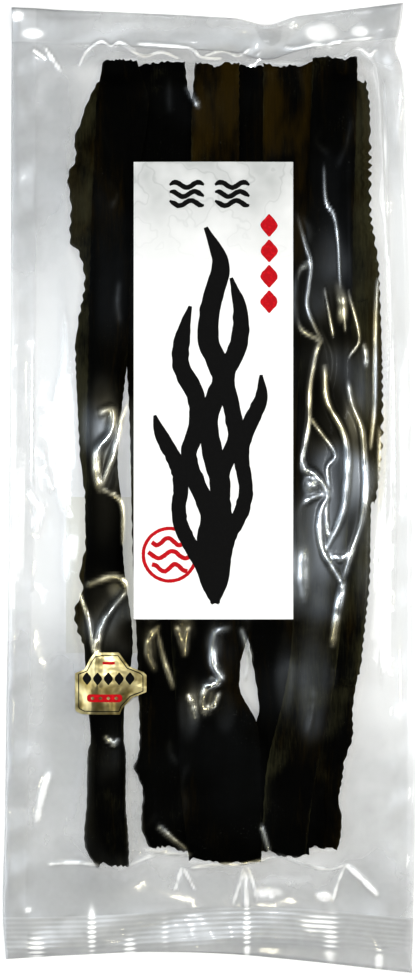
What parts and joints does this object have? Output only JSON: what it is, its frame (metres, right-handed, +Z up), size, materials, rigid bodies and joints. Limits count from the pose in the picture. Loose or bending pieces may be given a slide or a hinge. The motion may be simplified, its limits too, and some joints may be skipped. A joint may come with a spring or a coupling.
{
  "type": "clear film pouch of dried kelp strips",
  "caption": "Long clear film pouch of dark dried kelp strips, lying flat, with a white paper label and a small gold foil sticker on its front and a crimped foot.",
  "frame": {"origin": "centre of the bounding box, on the surface that the pouch lies on", "axes": "+X across the pouch to the label's right, +Y up the label towards the pouch's plain top seal, +Z up out of the labelled front"},
  "size_m": [0.206, 0.4848, 0.0153],
  "materials": {
    "film": "clear, thin and glossy, creased",
    "kelp": "dry, wrinkled, dull with a faint sheen and a little powder",
    "paper": "smooth matt, printed in black and red",
    "gold_foil": "thin satin metallised foil"
  },
  "bodies": {
    "root": {"bag": "film", "front_label": "paper", "foil_sticker": "gold_foil", "back_label": "paper"}
  },
  "joints": []
}
